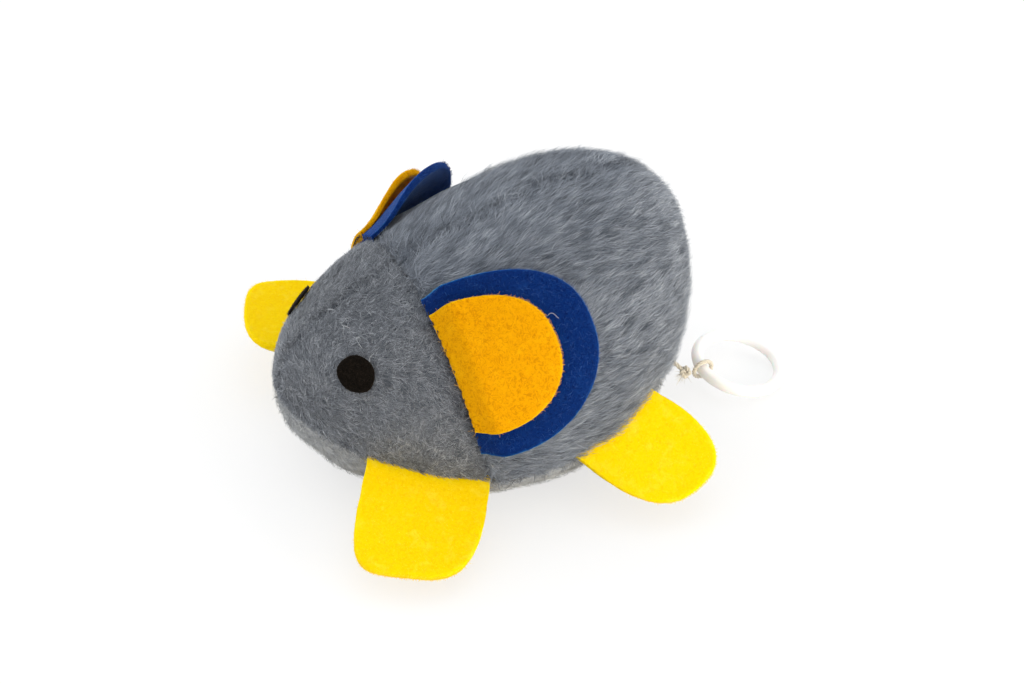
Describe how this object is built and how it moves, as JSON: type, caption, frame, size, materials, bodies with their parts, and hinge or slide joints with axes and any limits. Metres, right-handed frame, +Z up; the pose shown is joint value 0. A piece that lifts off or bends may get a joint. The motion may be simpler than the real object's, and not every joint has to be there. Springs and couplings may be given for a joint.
{
  "type": "plush pull-cord mouse",
  "caption": "Stuffed plush mouse with hinged felt ears and feet, a catnip sachet in the head, and a ring on a cord that spins a geared off-centre weight inside to make it wriggle.",
  "frame": {"origin": "on the flat of the belly, where the mouse rests, half way between nose and rear", "axes": "+X to the mouse's left, +Y from nose to tail, +Z up"},
  "size_m": [0.1187, 0.131, 0.0648],
  "materials": {
    "head_plush": "short fuzzy grey plush",
    "body_plush": "longer grey plush combed toward the tail",
    "blue_felt": "matted felt",
    "orange_felt": "matted felt",
    "yellow_felt": "matted felt",
    "dark_felt": "matted felt",
    "stuffing": "loose fibre fill",
    "sachet_cloth": "thin woven cloth",
    "case_plastic": "moulded, matte",
    "gear_plastic": "moulded, satin",
    "steel": "plain steel",
    "eyelet_brass": "plain brass",
    "cord_yarn": "twisted off-white cord",
    "ring_plastic": "pale, slightly translucent"
  },
  "bodies": {
    "body": {"left_head_panel": "head_plush", "right_head_panel": "head_plush", "left_flank_panel": "body_plush", "right_flank_panel": "body_plush", "belly_panel": "body_plush", "left_eye": "dark_felt", "right_eye": "dark_felt", "head_stuffing": "stuffing", "body_stuffing": "stuffing", "catnip_sachet": "sachet_cloth", "case_left": "case_plastic", "case_right": "case_plastic", "case_screw_1": "steel", "case_screw_2": "steel", "case_screw_3": "steel", "case_screw_4": "steel", "cord_eyelet": "eyelet_brass", "drum_axle": "steel", "mainspring": "steel", "idler_axle": "steel", "cord_run": "cord_yarn"},
    "drum": {"cord_drum": "gear_plastic", "drum_cap": "gear_plastic", "cord_winding": "cord_yarn"},
    "idler": {"idler_wheel": "gear_plastic"},
    "shaker": {"shaker_shaft": "steel", "shaker_pinion": "gear_plastic", "shaker_weight": "steel"},
    "cord_end": {"pull_cord": "cord_yarn", "cord_knot": "cord_yarn", "cord_loop": "cord_yarn"},
    "ring": {"pull_ring": "ring_plastic"},
    "left_ear_outer": {"left_ear_outer": "blue_felt"},
    "left_ear_inner": {"left_ear_inner": "orange_felt"},
    "right_ear_outer": {"right_ear_outer": "blue_felt"},
    "right_ear_inner": {"right_ear_inner": "orange_felt"},
    "front_left_foot": {"front_left_foot": "yellow_felt"},
    "front_right_foot": {"front_right_foot": "yellow_felt"},
    "rear_left_foot": {"rear_left_foot": "yellow_felt"},
    "rear_right_foot": {"rear_right_foot": "yellow_felt"}
  },
  "joints": [
    {"name": "shaker_spin", "type": "hinge", "parent": "body", "child": "shaker", "pos_m": [-0.0024, -0.00408, 0.02268], "axis": [1, 0, 0], "range_deg": [0, 11360]},
    {"name": "idler_spin", "type": "hinge", "parent": "body", "child": "idler", "pos_m": [-0.0024, 0.00444, 0.03283], "axis": [1, 0, 0], "range_deg": [-4270, 0]},
    {"name": "drum_spin", "type": "hinge", "parent": "body", "child": "drum", "pos_m": [-0.0024, 0.01799, 0.025], "axis": [1, 0, 0], "range_deg": [0, 1285], "stiffness_Nm_per_rad": 0.002, "springref_deg": -114.59},
    {"name": "ring_pull", "type": "slide", "parent": "body", "child": "cord_end", "axis": [0, 1, 0], "range_m": [0, 0.2]},
    {"name": "ring_swing", "type": "hinge", "parent": "cord_end", "child": "ring", "pos_m": [0.01234, 0.05632, 0.00571], "axis": [0.9887, 0, -0.1498], "range_deg": [0, 80]},
    {"name": "left_ear_lift", "type": "hinge", "parent": "body", "child": "left_ear_outer", "pos_m": [0.0292, -0.01904, 0.03989], "axis": [0.5884, -0.0327, -0.8079], "range_deg": [0, 60], "stiffness_Nm_per_rad": 0.01},
    {"name": "left_ear_part", "type": "hinge", "parent": "left_ear_outer", "child": "left_ear_inner", "pos_m": [0.03077, -0.01992, 0.04152], "axis": [0.5953, -0.0325, -0.8028], "range_deg": [0, 30], "stiffness_Nm_per_rad": 0.01},
    {"name": "right_ear_lift", "type": "hinge", "parent": "body", "child": "right_ear_outer", "pos_m": [-0.0292, -0.01904, 0.03989], "axis": [0.5884, 0.0327, 0.8079], "range_deg": [-8, 45], "stiffness_Nm_per_rad": 0.01},
    {"name": "right_ear_part", "type": "hinge", "parent": "right_ear_outer", "child": "right_ear_inner", "pos_m": [-0.03064, -0.02022, 0.04144], "axis": [0.5952, 0.0337, 0.8028], "range_deg": [-3, 20], "stiffness_Nm_per_rad": 0.01},
    {"name": "front_left_foot_bend", "type": "hinge", "parent": "body", "child": "front_left_foot", "pos_m": [0.03288, -0.02801, 0.01426], "axis": [-0.5148, -0.8426, 0.1579], "range_deg": [-10, 45], "stiffness_Nm_per_rad": 0.005},
    {"name": "front_right_foot_bend", "type": "hinge", "parent": "body", "child": "front_right_foot", "pos_m": [-0.03284, -0.02789, 0.01475], "axis": [-0.5148, 0.8426, -0.1579], "range_deg": [-20, 45], "stiffness_Nm_per_rad": 0.005},
    {"name": "rear_left_foot_bend", "type": "hinge", "parent": "body", "child": "rear_left_foot", "pos_m": [0.04067, 0.01915, 0.01808], "axis": [0.2371, -0.9055, -0.352], "range_deg": [-15, 50], "stiffness_Nm_per_rad": 0.005},
    {"name": "rear_right_foot_bend", "type": "hinge", "parent": "body", "child": "rear_right_foot", "pos_m": [-0.04065, 0.01907, 0.01829], "axis": [0.2371, 0.9055, 0.352], "range_deg": [-20, 50], "stiffness_Nm_per_rad": 0.005}
  ],
  "couplings": [
    {"joint": "idler_spin", "follows": "shaker_spin", "ratio": -0.375},
    {"joint": "drum_spin", "follows": "shaker_spin", "ratio": 0.1125},
    {"joint": "ring_pull", "follows": "shaker_spin", "m_per_rad": 0.0010012}
  ]
}
